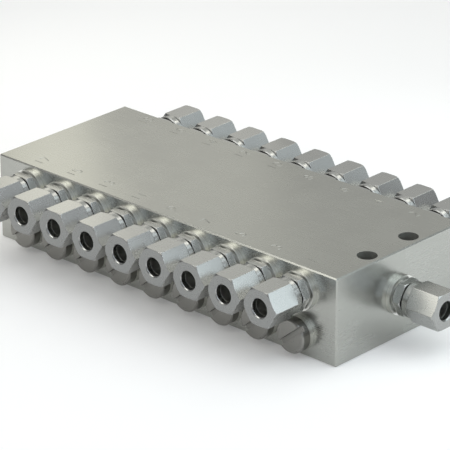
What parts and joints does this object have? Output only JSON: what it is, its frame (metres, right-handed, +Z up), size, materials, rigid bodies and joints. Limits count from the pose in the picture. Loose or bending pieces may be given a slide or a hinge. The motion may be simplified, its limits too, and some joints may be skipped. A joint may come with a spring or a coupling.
{
  "type": "lubricant divider block",
  "caption": "Progressive lubricant divider: a flat steel block with a screw inlet in one end and rows of tube outlets on both long sides, dosed by spool pistons inside.",
  "frame": {"origin": "centre of the block's flat underside", "axes": "+Z up, out of the face with the port numbers; +X along the block towards the inlet; -Y towards the side with the odd port numbers"},
  "size_m": [0.169, 0.098, 0.03],
  "materials": {
    "ground_steel": "fine ground, bright zinc plated",
    "turned_steel": "turned and milled, bright zinc plated",
    "screw_steel": "turned, zinc plated",
    "seal_metal": "soft aluminium, plain",
    "hardened_steel": "hardened and lapped",
    "pin_steel": "ground flush"
  },
  "bodies": {
    "block_assembly": {"manifold_block": "ground_steel", "sealing_pins": "pin_steel", "outlet_seals": "seal_metal", "outlet_cutting_rings": "turned_steel", "inlet_body": "turned_steel", "inlet_nut": "turned_steel", "inlet_seal": "seal_metal", "inlet_cutting_ring": "turned_steel", "closure_screws_near": "screw_steel", "closure_screws_far": "screw_steel", "closure_seals_near": "seal_metal", "closure_seals_far": "seal_metal", "outlet_body_1": "turned_steel", "outlet_nut_1": "turned_steel", "outlet_body_2": "turned_steel", "outlet_nut_2": "turned_steel", "outlet_body_3": "turned_steel", "outlet_nut_3": "turned_steel", "outlet_body_4": "turned_steel", "outlet_nut_4": "turned_steel", "outlet_body_5": "turned_steel", "outlet_nut_5": "turned_steel", "outlet_body_6": "turned_steel", "outlet_nut_6": "turned_steel", "outlet_body_7": "turned_steel", "outlet_nut_7": "turned_steel", "outlet_body_8": "turned_steel", "outlet_nut_8": "turned_steel", "outlet_body_9": "turned_steel", "outlet_nut_9": "turned_steel", "outlet_body_10": "turned_steel", "outlet_nut_10": "turned_steel", "outlet_body_11": "turned_steel", "outlet_nut_11": "turned_steel", "outlet_body_12": "turned_steel", "outlet_nut_12": "turned_steel", "outlet_body_13": "turned_steel", "outlet_nut_13": "turned_steel", "outlet_body_14": "turned_steel", "outlet_nut_14": "turned_steel", "outlet_body_15": "turned_steel", "outlet_nut_15": "turned_steel", "outlet_body_16": "turned_steel", "outlet_nut_16": "turned_steel", "outlet_body_17": "turned_steel", "outlet_nut_17": "turned_steel", "outlet_body_18": "turned_steel", "outlet_nut_18": "turned_steel"},
    "spool_1": {"piston_1": "hardened_steel"},
    "spool_2": {"piston_2": "hardened_steel"},
    "spool_3": {"piston_3": "hardened_steel"},
    "spool_4": {"piston_4": "hardened_steel"},
    "spool_5": {"piston_5": "hardened_steel"},
    "spool_6": {"piston_6": "hardened_steel"},
    "spool_7": {"piston_7": "hardened_steel"},
    "spool_8": {"piston_8": "hardened_steel"},
    "spool_9": {"piston_9": "hardened_steel"}
  },
  "joints": [
    {"name": "piston_1_slide", "type": "slide", "parent": "block_assembly", "child": "spool_1", "axis": [0, 1, 0], "range_m": [0, 0.007]},
    {"name": "piston_2_slide", "type": "slide", "parent": "block_assembly", "child": "spool_2", "axis": [0, 1, 0], "range_m": [0, 0.007]},
    {"name": "piston_3_slide", "type": "slide", "parent": "block_assembly", "child": "spool_3", "axis": [0, 1, 0], "range_m": [0, 0.007]},
    {"name": "piston_4_slide", "type": "slide", "parent": "block_assembly", "child": "spool_4", "axis": [0, 1, 0], "range_m": [0, 0.007]},
    {"name": "piston_5_slide", "type": "slide", "parent": "block_assembly", "child": "spool_5", "axis": [0, 1, 0], "range_m": [0, 0.007]},
    {"name": "piston_6_slide", "type": "slide", "parent": "block_assembly", "child": "spool_6", "axis": [0, 1, 0], "range_m": [0, 0.007]},
    {"name": "piston_7_slide", "type": "slide", "parent": "block_assembly", "child": "spool_7", "axis": [0, 1, 0], "range_m": [0, 0.007]},
    {"name": "piston_8_slide", "type": "slide", "parent": "block_assembly", "child": "spool_8", "axis": [0, 1, 0], "range_m": [0, 0.007]},
    {"name": "piston_9_slide", "type": "slide", "parent": "block_assembly", "child": "spool_9", "axis": [0, 1, 0], "range_m": [0, 0.007]}
  ]
}
